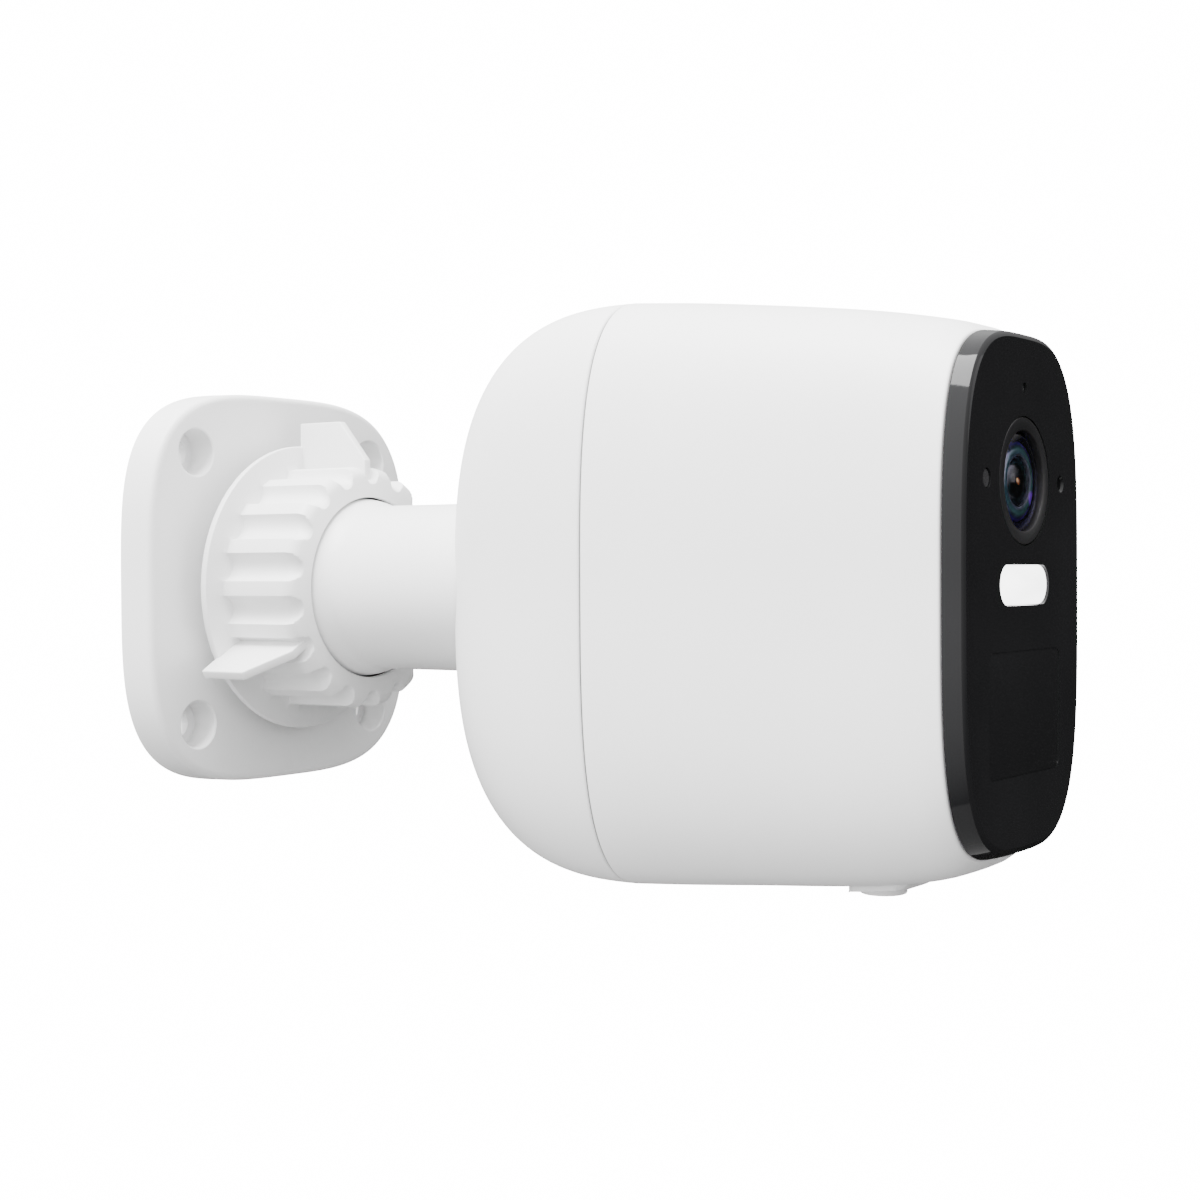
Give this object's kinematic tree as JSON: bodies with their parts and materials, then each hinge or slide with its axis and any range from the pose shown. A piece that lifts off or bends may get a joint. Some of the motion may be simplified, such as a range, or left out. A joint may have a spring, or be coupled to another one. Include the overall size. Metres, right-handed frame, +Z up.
{
  "type": "floodlight security camera",
  "caption": "Battery security camera with a spotlight window, on a ball mount with a knurled locking ring and a square wall plate.",
  "frame": {"origin": "centre of the wall plate's back face, on the mount's axis", "axes": "+Z up, the lens looks along -Y, and the wall is the plane Y = 0"},
  "size_m": [0.0572, 0.1258, 0.0778],
  "materials": {
    "white_plastic": "satin moulded",
    "gloss_black": "polished",
    "dark_plastic": "satin moulded",
    "seal_rubber": "matte",
    "white_rubber": "matte",
    "lens_glass": "coated, polished",
    "clear_window": "moulded, translucent",
    "pir_plastic": "fine frosted",
    "circuit_board": "solder resist",
    "plated_metal": "plated",
    "brass": "turned",
    "cell_sleeve": "shrink sleeve"
  },
  "bodies": {
    "wall_mount": {"wall_plate": "white_plastic", "socket_collar": "dark_plastic"},
    "ring": {"locking_ring": "white_plastic"},
    "cup": {"friction_cup": "dark_plastic"},
    "stem": {"ball_stem": "white_plastic", "stem_stud": "plated_metal"},
    "camera": {"stud_insert": "brass", "rear_shell": "white_plastic", "front_shell": "white_plastic", "shell_seal": "seal_rubber", "front_cover": "gloss_black", "lens_bezel": "dark_plastic", "lens_front_element": "lens_glass", "lens_barrel": "dark_plastic", "lens_rear_element": "lens_glass", "image_sensor": "dark_plastic", "sensor_board": "circuit_board", "led_board": "circuit_board", "spotlight_led_left": "clear_window", "spotlight_led_right": "clear_window", "spotlight_window": "clear_window", "pir_window": "pir_plastic", "pir_sensor": "plated_metal", "light_sensor_window": "dark_plastic", "microphone": "plated_metal", "status_light_pipe": "clear_window", "main_board": "circuit_board", "speaker": "dark_plastic", "wifi_antenna": "circuit_board", "port_board": "circuit_board", "power_switch": "plated_metal", "reset_switch": "plated_metal", "battery_cell_rear": "cell_sleeve", "battery_cell_front": "cell_sleeve", "battery_holder": "dark_plastic", "inner_frame": "dark_plastic", "frame_screw_1": "plated_metal", "frame_screw_2": "plated_metal", "frame_screw_3": "plated_metal", "frame_screw_4": "plated_metal", "usb_port": "plated_metal", "card_slot": "plated_metal", "memory_card": "dark_plastic"},
    "port_flap": {"port_cover": "white_rubber"},
    "power_key": {"power_button": "dark_plastic"},
    "reset_key": {"reset_button": "dark_plastic"}
  },
  "joints": [
    {"name": "ring_turn", "type": "hinge", "parent": "wall_mount", "child": "ring", "pos_m": [0, -0.0087, 0], "axis": [0, -1, 0], "range_deg": [0, 120]},
    {"name": "pan", "type": "hinge", "parent": "wall_mount", "child": "cup", "pos_m": [0, -0.0199, 0], "axis": [0, 0, 1], "range_deg": [-9, 9]},
    {"name": "tilt", "type": "hinge", "parent": "cup", "child": "stem", "pos_m": [0, -0.0199, 0], "axis": [1, 0, 0], "range_deg": [-9, 9]},
    {"name": "roll", "type": "hinge", "parent": "stem", "child": "camera", "pos_m": [0, -0.0497, 0], "axis": [0, -1, 0], "range_deg": [-180, 180]},
    {"name": "flap_open", "type": "hinge", "parent": "camera", "child": "port_flap", "pos_m": [0, -0.1128, -0.03626], "axis": [-1, 0, 0], "range_deg": [0, 85]},
    {"name": "power_press", "type": "slide", "parent": "camera", "child": "power_key", "axis": [0, 0, 1], "range_m": [0, 0.0004], "stiffness_N_per_m": 500},
    {"name": "reset_press", "type": "slide", "parent": "camera", "child": "reset_key", "axis": [0, 0, 1], "range_m": [0, 0.0004], "stiffness_N_per_m": 500}
  ]
}
